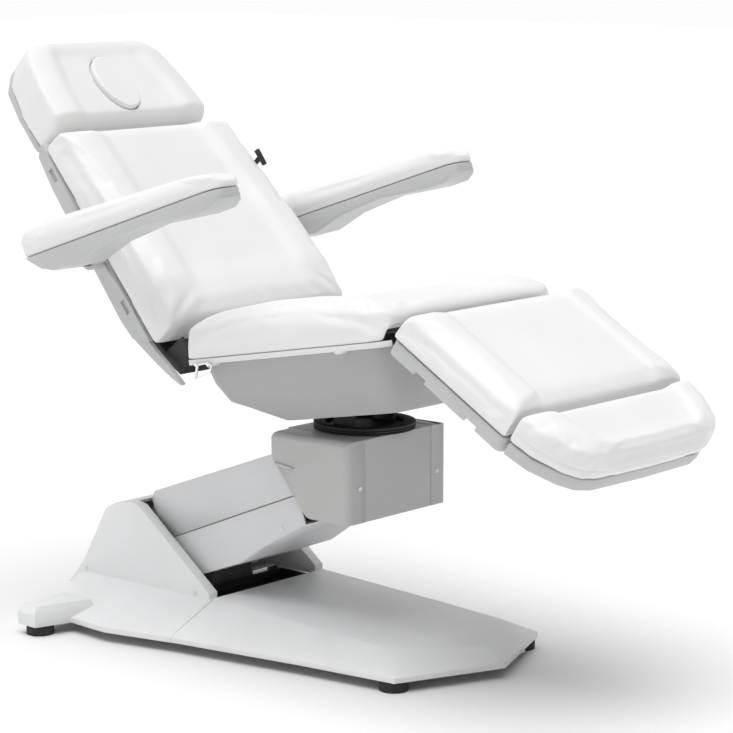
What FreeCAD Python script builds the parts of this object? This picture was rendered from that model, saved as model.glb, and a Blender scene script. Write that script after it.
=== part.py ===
"""Facial treatment bed: a motorised couch on a raised lift arm.

Frame: +X towards the foot end, +Z up, y = 0 is the plane of symmetry, and the floor is z = 0.
Every section of the couch is drawn flat in its own frame (+X towards the foot, +Z out of the
upholstery) with its origin on its hinge line, and its Placement puts it at its resting angle.
"""
import FreeCAD, Part
import Sketcher
import math
import os
import re

SIZES = [
    ("frame_shift", 58.8),
    ("clearance", 0.5),
    ("run_gap", 0.05),
    ("skin", 4.0),
    # base
    ("foot_r", 31.0),
    ("foot_tall", 20.0),
    ("rear_foot_x", -612.0),
    ("rear_foot_y", 394.0),
    ("front_foot_x", 275.0),
    ("front_foot_y", 215.0),
    ("rim_z", 34.0),
    ("crease_z", 92.0),
    ("cover_seam_x", -276.0),
    ("tower_half", 188.0),
    ("tower_slot_half", 162.0),
    # lift arm: two equal parallel links keep the head level
    ("arm_pivot_x", -505.0),
    ("arm_pivot_z", 205.0),
    ("arm_long", 520.0),
    ("arm_angle", 20.0),
    ("arm_half", 150.0),
    ("link_rise", 42.0),
    ("pivot_pin_r", 12.0),
    ("link_pin_r", 7.0),
    ("lift_lever", 80.0),
    ("lever_pin_r", 6.0),
    # head and swivel
    ("head_half", 163.0),
    ("head_seam_y", 110.0),
    ("swivel_x", 8.0),
    ("head_top_z", 490.0),
    ("bellows_r", 111.0),
    ("tilt_pivot_z", 600.0),
    ("tilt_pin_r", 9.0),
    # seat
    ("seat_x", 50.0),
    ("seat_z", 700.0),
    ("seat_angle", 10.0),
    ("seat_half", 293.0),
    ("hinge_pin_r", 6.0),
    # back, measured down the back from its upper edge
    ("back_hinge_x", -275.0),
    ("back_hinge_z", 668.0),
    ("back_angle", 48.0),
    # leg and foot sections
    ("leg_hinge_x", 300.0),
    ("leg_hinge_z", 760.0),
    ("leg_angle", 31.0),
    ("leg_half", 293.0),
    # headrest
    ("head_hinge_x", -759.0),
    ("head_hinge_z", 1091.0),
    ("head_angle", 45.0),
    ("plug_long", 78.0),
    ("plug_wide", 55.0),
    # armrests
    ("arm_rest_x", -529.0),
    ("arm_rest_z", 841.0),
    ("arm_rest_y", 381.0),
    ("arm_rest_half", 46.0),
    ("arm_rest_angle", 18.0),
    ("arm_rest_pin_r", 9.0),
]
SIZE = dict(SIZES)

doc = FreeCAD.newDocument("treatment_bed")
sheet = doc.addObject("Spreadsheet::Sheet", "Dimensions")
for row, (alias, value) in enumerate(SIZES, start=1):
    sheet.set("A%d" % row, str(value))
    sheet.setAlias("A%d" % row, alias)
doc.recompute()

NAMES = re.compile(r"\b(" + "|".join(SIZE) + r")\b")
nodes = []


def bound(text):
    """An expression in which each size name reads its cell of the sheet."""
    return NAMES.sub(r"Dimensions.\1", text)


def drive(item, prop, value):
    """Set a property: a number as it is, a text as an expression on the sheet."""
    if isinstance(value, str):
        item.setExpression(prop, bound(value))
    else:
        setattr(item, prop, value)


# --- where each group of pieces rests: hinge line x and z, and turn about Y in degrees ---
GROUND = ("frame_shift", "0", "0")
ARM = ("frame_shift + arm_pivot_x", "arm_pivot_z", "-arm_angle")
LINK = ("frame_shift + arm_pivot_x", "arm_pivot_z + link_rise", "-arm_angle")
HEAD_X = "frame_shift + arm_pivot_x + arm_long * cos(arm_angle * 1 deg)"
HEAD_Z = "arm_pivot_z + arm_long * sin(arm_angle * 1 deg)"
HEAD = (HEAD_X, HEAD_Z, "0")
SWIVEL = ("frame_shift + swivel_x", "head_top_z", "0")
SEAT = ("frame_shift + seat_x", "seat_z", "-seat_angle")
BACK = ("frame_shift + back_hinge_x", "back_hinge_z", "back_angle")
LEG = ("frame_shift + leg_hinge_x", "leg_hinge_z", "leg_angle")
HEADREST = ("frame_shift + head_hinge_x", "head_hinge_z", "head_angle")
ARMREST = ("frame_shift + arm_rest_x", "arm_rest_z", "-arm_rest_angle")


def rest(item, group, y="0"):
    """Put a finished piece at its group's resting place."""
    x, z, turn = group
    text = (
        "create(<<placement>>; create(<<vector>>; %s; %s; %s);"
        " create(<<rotation>>; create(<<vector>>; 0; 1; 0); %s))" % (x, y, z, turn)
    )
    item.setExpression("Placement", bound(text))


def node(label, group, y="0"):
    """A new body that becomes one named piece."""
    body = doc.addObject("PartDesign::Body", label)
    body.Label = label
    rest(body, group, y)
    nodes.append(body)
    return body


def keep(item, label, group, y="0"):
    """Name a primitive or boolean as one piece."""
    item.Label = label
    rest(item, group, y)
    nodes.append(item)
    return item


def sketch(body, plane, offset=0, tilt=0):
    """An empty sketch on one of the body's own planes, moved along the plane's normal."""
    item = body.newObject("Sketcher::SketchObject", body.Name + "_sketch")
    support = [part for part in body.Origin.OriginFeatures if part.Role == plane + "_Plane"][0]
    item.AttachmentSupport = [(support, "")]
    item.MapMode = "FlatFace"
    turn = FreeCAD.Rotation(FreeCAD.Vector(0, 1, 0), tilt)
    item.AttachmentOffset = FreeCAD.Placement(FreeCAD.Vector(0, 0, 0), turn)
    if isinstance(offset, str):
        item.setExpression("AttachmentOffset.Base.z", bound(offset))
    else:
        item.AttachmentOffset = FreeCAD.Placement(FreeCAD.Vector(0, 0, offset), turn)
    return item


def hold(item, kind, line, point, value):
    """Dimension a point from the sketch origin with a number or an expression."""
    first = value if not isinstance(value, str) else 1.0
    index = item.addConstraint(Sketcher.Constraint(kind, -1, 1, line, point, first))
    if isinstance(value, str):
        item.setExpression("Constraints[%d]" % index, bound(value))


def outline(item, points):
    """A closed polygon, each corner dimensioned from the origin."""
    start = item.GeometryCount
    count = len(points)
    rough = []
    for index, (across, up) in enumerate(points):
        x = across if not isinstance(across, str) else 500.0 * math.cos(index)
        z = up if not isinstance(up, str) else 500.0 * math.sin(index)
        rough.append(FreeCAD.Vector(x, z, 0))
    for index in range(count):
        item.addGeometry(Part.LineSegment(rough[index], rough[(index + 1) % count]))
    for index in range(count):
        following = start + (index + 1) % count
        item.addConstraint(Sketcher.Constraint("Coincident", start + index, 2, following, 1))
    for index, (across, up) in enumerate(points):
        hold(item, "DistanceX", start + index, 1, across)
        hold(item, "DistanceY", start + index, 1, up)
    return item


def rounds(item, circles):
    """Circles as (across, up, radius)."""
    for across, up, radius in circles:
        x = across if not isinstance(across, str) else 1.0
        z = up if not isinstance(up, str) else 1.0
        size = radius if not isinstance(radius, str) else 5.0
        index = item.addGeometry(
            Part.Circle(FreeCAD.Vector(x, z, 0), FreeCAD.Vector(0, 0, 1), size)
        )
        hold(item, "DistanceX", index, 3, across)
        hold(item, "DistanceY", index, 3, up)
        number = item.addConstraint(Sketcher.Constraint("Radius", index, size))
        if isinstance(radius, str):
            item.setExpression("Constraints[%d]" % number, bound(radius))
    return item


def block(low, high):
    """The four corners of an upright rectangle."""
    return [(low[0], low[1]), (high[0], low[1]), (high[0], high[1]), (low[0], high[1])]


def grow(body, kind, profile, length, middle=True, back=False):
    """Pad or pocket a sketch, checking that it changed the body."""
    before = body.Shape.Volume if body.Tip else 0.0
    item = body.newObject("PartDesign::" + kind, body.Name + "_" + kind.lower())
    item.Profile = profile
    item.SideType = "Symmetric" if middle else "One side"
    item.Reversed = back
    drive(item, "Length", length)
    profile.Visibility = False
    doc.recompute()
    change = body.Shape.Volume - before
    if (kind == "Pad") != (change > 0) or abs(change) < 1e-3:
        raise RuntimeError("%s of %s changed its volume by %g" % (kind, body.Label, change))
    return item


def pad(body, plane, points, length, offset=0, middle=True, back=False):
    return grow(body, "Pad", outline(sketch(body, plane, offset), points), length, middle, back)


def pocket(body, plane, points, length, offset=0, middle=True, back=False):
    return grow(body, "Pocket", outline(sketch(body, plane, offset), points), length, middle, back)


def rod(body, plane, circles, length, offset=0, middle=True, back=False):
    return grow(body, "Pad", rounds(sketch(body, plane, offset), circles), length, middle, back)


def drill(body, plane, circles, length, offset=0, middle=True, back=False):
    return grow(body, "Pocket", rounds(sketch(body, plane, offset), circles), length, middle, back)


def loft(body, sections, cut=False):
    """Straight walls through polygons on planes parallel to XY: [(height, tilt, points), ...]."""
    drawn = [outline(sketch(body, "XY", height, tilt), points) for height, tilt, points in sections]
    kind = "SubtractiveLoft" if cut else "AdditiveLoft"
    item = body.newObject("PartDesign::" + kind, body.Name + "_loft")
    item.Profile = drawn[0]
    item.Sections = drawn[1:]
    item.Ruled = True
    doc.recompute()
    return item


def soften(body, pick, radius):
    """Fillet the edges of the body's tip that the test picks."""
    tip = body.Tip
    names = []
    for index, edge in enumerate(tip.Shape.Edges, start=1):
        if pick(edge):
            names.append("Edge%d" % index)
    item = body.newObject("PartDesign::Fillet", body.Name + "_fillet")
    item.Base = (tip, names)
    item.Radius = radius
    doc.recompute()
    return item


def off_y(edge):
    """An edge that lies in a plane y = constant, away from the middle."""
    box = edge.BoundBox
    return box.YLength < 0.01 and abs(box.YMin) > 20


def trim_corners(body, end, half, radius, facing):
    """Round the two upright corners at x = end, where facing is +1 or -1 along X."""
    steps = [math.radians(18.0 * step) for step in range(6)]
    for side in (1, -1):
        arc = [
            (end - facing * radius * (1 - math.cos(turn)), side * (half - radius * (1 - math.sin(turn))))
            for turn in steps
        ]
        past = end + facing * 30.0
        cut = arc + [
            (end - facing * radius, side * (half + 30.0)), (past, side * (half + 30.0)),
            (past, side * (half - radius)),
        ]
        pocket(body, "XY", cut, 400.0)


def mirrored(half):
    """A half outline of (x, y) corners, closed by its mirror image across y = 0."""
    other = [(x, flip(y)) for x, y in reversed(half) if y != 0]
    return half + other


def flip(value):
    return "-(%s)" % value if isinstance(value, str) else -value


def fused(label, items, group, y="0"):
    """Several primitives joined, or kept as a group of separate solids."""
    item = doc.addObject("Part::MultiFuse", label)
    item.Shapes = items
    return keep(item, label, group, y)


def cylinder(radius, length, at, axis="z"):
    """A cylinder centred on a point, along x, y or z."""
    item = doc.addObject("Part::Cylinder", "rod")
    drive(item, "Radius", radius)
    drive(item, "Height", length)
    turns = {
        "x": FreeCAD.Rotation(FreeCAD.Vector(0, 1, 0), 90),
        "y": FreeCAD.Rotation(FreeCAD.Vector(1, 0, 0), -90),
        "z": FreeCAD.Rotation(),
    }
    back = {"x": (1, 0, 0), "y": (0, 1, 0), "z": (0, 0, 1)}[axis]
    half = 0.5 * length
    spot = FreeCAD.Vector(*at) - FreeCAD.Vector(*back) * half
    item.Placement = FreeCAD.Placement(spot, turns[axis])
    return item


# hinge lines as (x, z, turn of the section that hangs there), before the frame shift
HINGES = {
    "seat": (SIZE["seat_x"], SIZE["seat_z"], -SIZE["seat_angle"]),
    "tilt": (SIZE["swivel_x"], SIZE["tilt_pivot_z"], 0.0),
    "back": (SIZE["back_hinge_x"], SIZE["back_hinge_z"], SIZE["back_angle"]),
    "leg": (SIZE["leg_hinge_x"], SIZE["leg_hinge_z"], SIZE["leg_angle"]),
    "head": (SIZE["head_hinge_x"], SIZE["head_hinge_z"], SIZE["head_angle"]),
    "arm_rest": (SIZE["arm_rest_x"], SIZE["arm_rest_z"], -SIZE["arm_rest_angle"]),
}


def seen_from(viewer, hinge):
    """Where a hinge line lies in another section's own frame."""
    x, z, turn = HINGES[viewer]
    dx, dz = HINGES[hinge][0] - x, HINGES[hinge][1] - z
    angle = math.radians(turn)
    along = dx * math.cos(angle) - dz * math.sin(angle)
    return along, dx * math.sin(angle) + dz * math.cos(angle)


# ------------------------------------------------------------------ base
def base_outline(inset=0.0):
    """Half plan of the front plate, from its seam to its shallow point."""
    seam = SIZE["cover_seam_x"]
    return [(seam, 318.0 - inset), (62.0, 268.0 - inset), (300.0 - inset, 243.0 - inset), (400.0 - inset, 0)]


def make_base_front_cover():
    """The floor plate: an upright rim, sloping sides and a flat top that falls towards the foot."""
    body = node("base_front_cover", GROUND)
    seam = SIZE["cover_seam_x"]
    top = [(seam, 177.0), (62.0, 177.0), (247.0, 172.0), (352.0, 0)]
    inner_top = [(seam, 170.0), (62.0, 170.0), (240.0, 165.0), (342.0, 0)]
    loft(body, [(22.0, 0, mirrored(base_outline())), (SIZE["rim_z"], 0, mirrored(base_outline()))])
    loft(body, [(SIZE["rim_z"], 0, mirrored(base_outline())), (82.0, 2.8, mirrored(top))])
    inner = mirrored(base_outline(5.0))
    loft(body, [(22.0, 0, inner), (SIZE["rim_z"] - 3.0, 0, inner)], cut=True)
    loft(body, [(SIZE["rim_z"] - 3.0, 0, inner), (77.0, 2.8, mirrored(inner_top))], cut=True)


def tower_side():
    """Side view of the tower's cheeks."""
    return [
        (-285.0, 60.0), (-285.0, 105.0), (-503.0, 272.0), (-529.0, 277.0),
        (-581.0, 268.0), (-611.0, 252.0), (-688.0, 118.0), (-738.0, 60.0),
    ]


def make_tower_cover():
    """Rear cover: a skirt with two outriggers, two hollow cheeks and the sloping rear panel."""
    body = node("tower_cover", GROUND)
    seam = SIZE["cover_seam_x"] - SIZE["clearance"]
    foot = [(-751.0, 196.0), (-655.0, 318.0), (-562.0, 345.0), (-446.0, 355.0), (seam, 318.5)]
    crease = [(-700.0, 186.0), (-655.0, 188.0), (-562.0, 188.0), (-446.0, 188.0), (seam, 188.0)]
    foot_in = [(-745.0, 191.0), (-652.0, 312.0), (-562.0, 339.0), (-446.0, 349.0), (seam + 1, 312.5)]
    crease_in = [(-695.0, 180.0), (-655.0, 182.0), (-562.0, 182.0), (-446.0, 182.0), (seam + 1, 182.0)]
    arm = [(-655.0, 290.0), (-650.0, 426.0), (-589.0, 430.0), (-562.0, 338.0), (-546.0, 290.0)]
    rim = SIZE["rim_z"]
    loft(body, [(22.0, 0, mirrored(foot)), (rim, 0, mirrored(foot))])
    loft(body, [(rim, 0, mirrored(foot)), (SIZE["crease_z"], 0, mirrored(crease))])
    arm_top = [(-648.0, 290.0), (-642.0, 413.0), (-597.0, 418.0), (-570.0, 338.0), (-554.0, 290.0)]
    for side in (1, -1):
        limb = [(x, side * y) for x, y in arm]
        loft(body, [(22.0, 0, limb), (50.0, 0, limb)])
        loft(body, [(50.0, 0, limb), (68.0, 0, [(x, side * y) for x, y in arm_top])])
    pad(body, "XZ", tower_side(), "2 * tower_half")
    loft(body, [(22.0, 0, mirrored(foot_in)), (rim - 3, 0, mirrored(foot_in))], cut=True)
    loft(body, [(rim - 3, 0, mirrored(foot_in)), (SIZE["crease_z"] - 5, 0, mirrored(crease_in))], cut=True)
    slot = [
        (-200.0, 10.0), (-732.0, 10.0), (-732.0, 55.0), (-681.0, 116.0), (-606.0, 248.0),
        (-579.0, 262.0), (-529.0, 271.0), (-529.0, 320.0), (-200.0, 320.0),
    ]
    pocket(body, "XZ", slot, "2 * tower_slot_half")
    for side in (1, -1):
        inner = [
            (-600.0, side * 296.0), (-645.0, side * 330.0), (-645.0, side * 420.0),
            (-594.0, side * 424.0), (-566.0, side * 330.0),
        ]
        pocket(body, "XY", inner, 27.0, 22.0, middle=False, back=True)
    drill(body, "YZ", [(0, 66.0, 17.0)], 60.0, -730.0)


def make_base_feet():
    """Four round rubber feet."""
    feet = []
    for side in (1, -1):
        for place in ("rear", "front"):
            x = SIZE[place + "_foot_x"]
            y = side * SIZE[place + "_foot_y"]
            feet.append(cylinder("foot_r", SIZE["foot_tall"], (x, y, 0.5 * SIZE["foot_tall"])))
    fused("base_feet", feet, GROUND)


def make_base_frame():
    """Welded steel chassis: floor plate, rear cross bar with foot pads and the two pivot ears."""
    body = node("base_frame", GROUND)
    spine = [(-630.0, 130.0), (225.0, 130.0)]
    pad(body, "XY", mirrored(spine), 9.0, 20.0, middle=False)
    pad(body, "XY", block((-626.0, -411.0), (-593.0, 411.0)), 9.0, 20.0, middle=False)
    pad(body, "XY", block((225.0, -222.0), (285.0, 222.0)), 9.0, 20.0, middle=False)
    ear = [
        (-585.0, 29.0), (-440.0, 29.0), (-478.0, 225.0), (-490.0, 262.0), (-520.0, 262.0),
        (-532.0, 225.0),
    ]
    for side in (1, -1):
        where = side * 120.0 - 5.0
        pad(body, "XZ", ear, 10.0, where, middle=False)
    lug = [(-535.0, 29.0), (-470.0, 29.0), (-490.0, 138.0), (-520.0, 138.0)]
    for side in (1, -1):
        pad(body, "XZ", lug, 8.0, side * 24.0 - 4.0, middle=False)
    drill(body, "XZ", [("arm_pivot_x", "arm_pivot_z", "pivot_pin_r")], 300.0)
    drill(body, "XZ", [("arm_pivot_x", "arm_pivot_z + link_rise", "link_pin_r")], 300.0)
    drill(body, "XZ", [("arm_pivot_x", "arm_pivot_z - lift_lever", "lever_pin_r")], 100.0)


def make_lift_pivot_pins():
    """The pins in the ears: main pivot in two stubs, link pivot and the lift drive's pin."""
    x, z = SIZE["arm_pivot_x"], SIZE["arm_pivot_z"]
    pins = [cylinder("pivot_pin_r", 45.0, (x, side * 104.0, z), "y") for side in (1, -1)]
    pins.append(cylinder("link_pin_r", 252.0, (x, 0, z + SIZE["link_rise"]), "y"))
    pins.append(cylinder("lever_pin_r", 58.0, (x, 0, z - SIZE["lift_lever"]), "y"))
    fused("lift_pivot_pins", pins, GROUND)


def make_base_cover_screws():
    """Screw caps on the plate's point, and at both ends of the tower's creases."""
    caps = []
    for side in (1, -1):
        caps.append(cylinder(4.5, 3.0, (356.0, side * 118.0, 28.0), "x"))
        caps.append(cylinder(4.5, 3.0, (-680.0, side * 189.6, 102.0), "y"))
        caps.append(cylinder(4.5, 3.0, (-328.0, side * 189.6, 101.0), "y"))
    fused("base_cover_screws", caps, GROUND)


def make_control_box():
    """Control electronics housed on the floor plate, in front of the lift."""
    body = node("control_box", GROUND)
    pad(body, "XY", block((-200.0, -70.0), (60.0, 70.0)), 34.0, 34.0, middle=False)
    soften(body, lambda edge: edge.BoundBox.ZLength > 20, 6.0)


def make_cable_tray():
    """Black tray that closes the tower's mouth below the arm."""
    body = node("cable_tray", GROUND)
    pad(body, "XY", block((-392.0, -158.0), (-282.0, 158.0)), 46.0, 38.0, middle=False)
    pocket(body, "XY", block((-386.0, -152.0), (-288.0, 152.0)), 20.0, 84.0, middle=False)
    soften(body, lambda edge: edge.BoundBox.ZLength > 20, 5.0)


def make_power_inlet():
    """Mains inlet socket in the foot of the rear panel."""
    body = node("power_inlet", GROUND)
    rod(body, "YZ", [(0, 66.0, 16.9)], 26.0, -726.0, middle=False)
    pocket(body, "YZ", block((-12.0, 57.0), (12.0, 75.0)), 14.0, -726.0, middle=False, back=True)


# ------------------------------------------------------------------ lift arm
def make_lift_arm_frame():
    """Two side plates joined by cross tubes; eyes at both ends run on the pivot pins."""
    body = node("lift_arm_frame", ARM)
    web = [(0.0, -26.0), (30.0, -30.0), (90.0, -70.0), (400.0, -60.0), (500.0, -26.0),
           (520.0, -26.0), (520.0, 26.0), (500.0, 26.0), (400.0, 34.0), (60.0, 20.0), (0.0, 20.0)]
    for side in (1, -1):
        offset = side * 104.0 - 5.0
        pad(body, "XZ", web, 10.0, offset, middle=False)
        rod(body, "XZ", [(0, 0, 26.0), ("arm_long", 0, 26.0)], 10.0, offset, middle=False)
    for across, up, radius in ((110.0, -10.0, 14.0), (430.0, -10.0, 16.0)):
        rod(body, "XZ", [(across, up, radius)], 200.0)
    pad(body, "XZ", block((300.0, -46.0), (318.0, 12.0)), 200.0)
    drill(body, "XZ", [(0, 0, "pivot_pin_r + run_gap"), ("arm_long", 0, "pivot_pin_r + run_gap")], 300.0)


def shell(label, group, outer, inner, half, wall):
    """A cover made as a thick outline with its inside cut away."""
    body = node(label, group)
    pad(body, "XZ", outer, half * 2.0)
    pocket(body, "XZ", inner, (half - wall) * 2.0)
    return body


def make_arm_covers():
    """Upper and lower halves of the arm's casing, which meet on a rising seam."""
    upper = [(32.0, -26.0), (32.0, 72.0), (46.0, 87.0), (476.0, 87.0), (476.0, -12.0)]
    upper_in = [(20.0, -60.0), (20.0, 83.0), (490.0, 83.0), (490.0, -60.0)]
    lower = [
        (32.0, -26.5), (32.0, -82.0), (103.0, -124.0), (258.0, -122.0), (332.0, -103.0), (476.0, -80.0),
        (476.0, -12.5),
    ]
    lower_in = [
        (20.0, 20.0), (20.0, -84.0), (30.0, -84.0), (104.0, -119.5), (257.0, -117.5), (331.0, -98.5),
        (490.0, -73.5), (490.0, 20.0),
    ]
    wide = SIZE["arm_half"]
    shell("arm_upper_cover", ARM, upper, upper_in, wide, SIZE["skin"])
    shell("arm_lower_cover", ARM, lower, lower_in, wide - 2.0, SIZE["skin"])


def make_arm_cover_clips():
    """Small clips along the lower cover's edge."""
    clips = []
    for side in (1, -1):
        clips.append(cylinder(4.0, 4.0, (405.0, side * 150.0, -76.0), "y"))
    fused("arm_cover_clips", clips, ARM)


def make_levelling_link():
    """The upper of the two parallel links."""
    body = node("levelling_link", LINK)
    pad(body, "XZ", block((0.0, -9.0), ("arm_long", 9.0)), 24.0)
    rod(body, "XZ", [(0, 0, 13.0), ("arm_long", 0, 13.0)], 24.0)
    drill(body, "XZ", [(0, 0, "link_pin_r + run_gap"), ("arm_long", 0, "link_pin_r + run_gap")], 60.0)


LIFT_AXIS = -73.0


def make_lift_actuator():
    """Motor and tube of the lift drive, carried in the arm."""
    body = node("lift_actuator", ARM)
    rod(body, "YZ", [(0, LIFT_AXIS, 20.0)], 190.0, 120.0, middle=False)
    pad(body, "YZ", block((-30.0, LIFT_AXIS - 24.0), (30.0, LIFT_AXIS + 60.0)), 70.0, 225.0, middle=False)
    drill(body, "YZ", [(0, LIFT_AXIS, 11.05)], 130.0, 119.0, middle=False, back=True)


def yoke(body, axis, mid, reach, tall, slot, first, last):
    """A push rod with a slotted end plate, drawn along X at height axis."""
    pad(body, "XZ", block((mid - reach, axis - tall), (mid + reach, axis + tall)), 14.0)
    rod(body, "YZ", [(0, axis, 11.0)], last - first, first, middle=False)
    pocket(body, "XZ", block((mid - slot, axis - tall + 7.0), (mid + slot, axis + tall - 7.0)), 40.0)


def make_lift_actuator_rod():
    """Lift push rod: its slotted yoke holds the pin below the main pivot."""
    body = node("lift_actuator_rod", ARM)
    yoke(body, LIFT_AXIS, -27.0, 16.0, 24.0, 8.6, -12.0, 200.0)


# ------------------------------------------------------------------ head
HEAD_REAR = -101.0
HEAD_FRONT = 121.0
HEAD_HIGH = 107.0
COVER_LOW = -72.0
COVER_ROUND = 16.0


def make_head_side_covers():
    """Two covers that wrap from the sides round the front corners and over the top edge."""
    for name, side in (("near", 1), ("far", -1)):
        body = node("head_side_cover_" + name, HEAD)
        outer = [
            (HEAD_REAR, 95.0), (HEAD_REAR + 4.0, 103.0), (HEAD_REAR + 12.0, HEAD_HIGH), (HEAD_FRONT, HEAD_HIGH),
            (HEAD_FRONT, COVER_LOW), (10.0, COVER_LOW), (2.0, COVER_LOW + 2.0),
            (-6.0, COVER_LOW + 8.0), (-84.0, 30.0), (-95.0, 42.0), (HEAD_REAR, 56.0),
        ]
        start = "head_seam_y" if side == 1 else "-head_half"
        pad(body, "XZ", outer, "head_half - head_seam_y", start, middle=False)
        outside = SIZE["head_half"] * -side
        soften(
            body,
            lambda edge: (
                abs(edge.BoundBox.YMin - outside) < 0.1 and edge.BoundBox.YLength < 0.1
                and (edge.BoundBox.XMin > HEAD_FRONT - 1.0 or edge.BoundBox.ZMin > HEAD_HIGH - 1.0)
            ),
            COVER_ROUND,
        )
        for wall, reach in ((6.0, COVER_ROUND), (COVER_ROUND, 6.0)):
            depth = SIZE["head_half"] - reach
            inner = block((HEAD_REAR - 10.0, COVER_LOW - 10.0), (HEAD_FRONT - wall, HEAD_HIGH - wall))
            pocket(body, "XZ", inner, depth, 0.0 if side == 1 else -depth, middle=False, back=True)
        ridge = [(-90.0, 40.0), (-42.0, 35.0), (-34.0, 31.0), (-44.0, 28.0), (-85.0, 33.0)]
        start = SIZE["head_half"] - 1.0 if side == 1 else -SIZE["head_half"] - 4.0
        pad(body, "XZ", ridge, 5.0, start, middle=False)


def make_head_front_cover():
    """Centre panel: the front and the top between the side covers."""
    body = node("head_front_cover", HEAD)
    panel = [
        (HEAD_FRONT, COVER_LOW), (HEAD_FRONT, HEAD_HIGH), (HEAD_REAR, HEAD_HIGH),
        (HEAD_REAR, HEAD_HIGH - 6.0), (HEAD_FRONT - 6.0, HEAD_HIGH - 6.0), (HEAD_FRONT - 6.0, COVER_LOW),
    ]
    pad(body, "XZ", panel, "2 * head_seam_y - 1")
    reach = SIZE["arm_long"] * math.cos(math.radians(SIZE["arm_angle"]))
    across = SIZE["swivel_x"] - (SIZE["arm_pivot_x"] + reach)
    drill(body, "XY", [(across, 0, 62.0)], 20.0, HEAD_HIGH)


def make_head_frame():
    """Steel head: two cheeks on the pivot pins under the bearing plate."""
    body = node("head_frame", HEAD)
    cheek = [(-28.0, -20.0), (10.0, -28.0), (60.0, -10.0), (90.0, 88.0), (-28.0, 88.0)]
    for side in (1, -1):
        pad(body, "XZ", cheek, 10.0, side * 117.0 - 5.0 - side * 2.0, middle=False)
    pad(body, "XY", block((-60.0, -120.0), (105.0, 120.0)), 12.0, 88.0, middle=False)
    drill(body, "XZ", [(0, 0, "pivot_pin_r"), (0, "link_rise", "link_pin_r")], 300.0)


def make_head_pins():
    """Pins of the arm and of the levelling link in the head."""
    pins = [cylinder("pivot_pin_r", 24.0, (0, side * 110.0, 0), "y") for side in (1, -1)]
    pins.append(cylinder("link_pin_r", 244.0, (0, 0, SIZE["link_rise"]), "y"))
    fused("head_pins", pins, HEAD)


def make_head_cover_screws():
    """White screw caps on the side covers."""
    caps = []
    for side in (1, -1):
        caps.append(cylinder(5.0, 3.0, (HEAD_FRONT + 1.5, side * 127.0, 4.0), "x"))
    fused("head_cover_screws", caps, HEAD)


def make_swivel_bearing():
    """Fixed race of the turntable, bolted on the bearing plate."""
    body = node("swivel_bearing", SWIVEL)
    rod(body, "XY", [(0, 0, 56.0)], 8.5, -7.0, middle=False)
    drill(body, "XY", [(0, 0, 25.05)], 30.0)


def make_swivel_table():
    """Turntable with its spindle and the two ears of the seat's tilt pivot."""
    body = node("swivel_table", SWIVEL)
    rod(body, "XY", [(0, 0, 84.0)], 6.0, 2.0, middle=False)
    rod(body, "XY", [(0, 0, 25.0)], 9.0, -7.0, middle=False)
    ear = [(-30.0, 8.0), (30.0, 8.0), (14.0, 122.0), (-14.0, 122.0)]
    for side in (1, -1):
        pad(body, "XZ", ear, 8.0, side * 66.0 - 4.0, middle=False)
    drill(body, "XZ", [(0, "tilt_pivot_z - head_top_z", "tilt_pin_r + run_gap")], 200.0)


def make_swivel_bellows():
    """Ribbed black skirt that hides the turntable."""
    body = node("swivel_bellows", SWIVEL)
    rod(body, "XY", [(0, 0, "bellows_r")], 15.0, 1.0, middle=False)
    for height in (4.0, 9.0):
        ring = rounds(sketch(body, "XY", height), [(0, 0, "bellows_r + 1"), (0, 0, "bellows_r - 4")])
        grow(body, "Pocket", ring, 2.0, middle=False, back=True)
    drill(body, "XY", [(0, 0, 85.0)], 60.0)


# ------------------------------------------------------------------ seat
def make_seat_frame():
    """Seat chassis: two rails, cross bars, hinge ears for the back and the leg section."""
    body = node("seat_frame", SEAT)
    for side in (1, -1):
        pad(body, "XZ", block((-250.0, -60.0), (205.0, -22.0)), 30.0, side * 150.0 - 15.0, middle=False)
        back_ear = [
            (-248.0, -58.0), (-248.0, -24.0), (-294.0, -20.0), (-312.0, 20.0),
            (-325.6, 38.0), (-340.0, 25.0), (-338.0, 6.0), (-310.0, -40.0),
        ]
        pad(body, "XZ", back_ear, 10.0, side * 150.0 - 5.0, middle=False)
        leg_ear = [
            (196.0, -56.0), (215.0, -56.0), (262.0, 4.0), (269.0, 16.0),
            (257.0, 28.0), (244.0, 18.0), (205.0, -24.0), (196.0, -24.0),
        ]
        pad(body, "XZ", leg_ear, 10.0, side * 150.0 - 5.0, middle=False)
        tilt_ear = [(-100.0, -30.0), (-26.0, -30.0), (-44.0, -106.0), (-74.0, -106.0)]
        pad(body, "XZ", tilt_ear, 8.0, side * 84.0 - 4.0, middle=False)
    for across in (-230.0, -100.0, -50.0, 172.0):
        pad(body, "XZ", block((across, -34.0), (across + 24.0, -22.0)), 300.0)
    holes = []
    for name, radius in (("tilt", "tilt_pin_r"), ("back", "hinge_pin_r"), ("leg", "hinge_pin_r")):
        along, up = seen_from("seat", name)
        holes.append((along, up, radius))
    drill(body, "XZ", holes, 400.0)
    pins = [cylinder("tilt_pin_r", 180.0, (holes[0][0], 0, holes[0][1]), "y")]
    for along, up, radius in holes[1:]:
        for side in (1, -1):
            pins.append(cylinder(radius, 34.0, (along, side * 150.0, up), "y"))
    fused("seat_hinge_pins", pins, SEAT)


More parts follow.
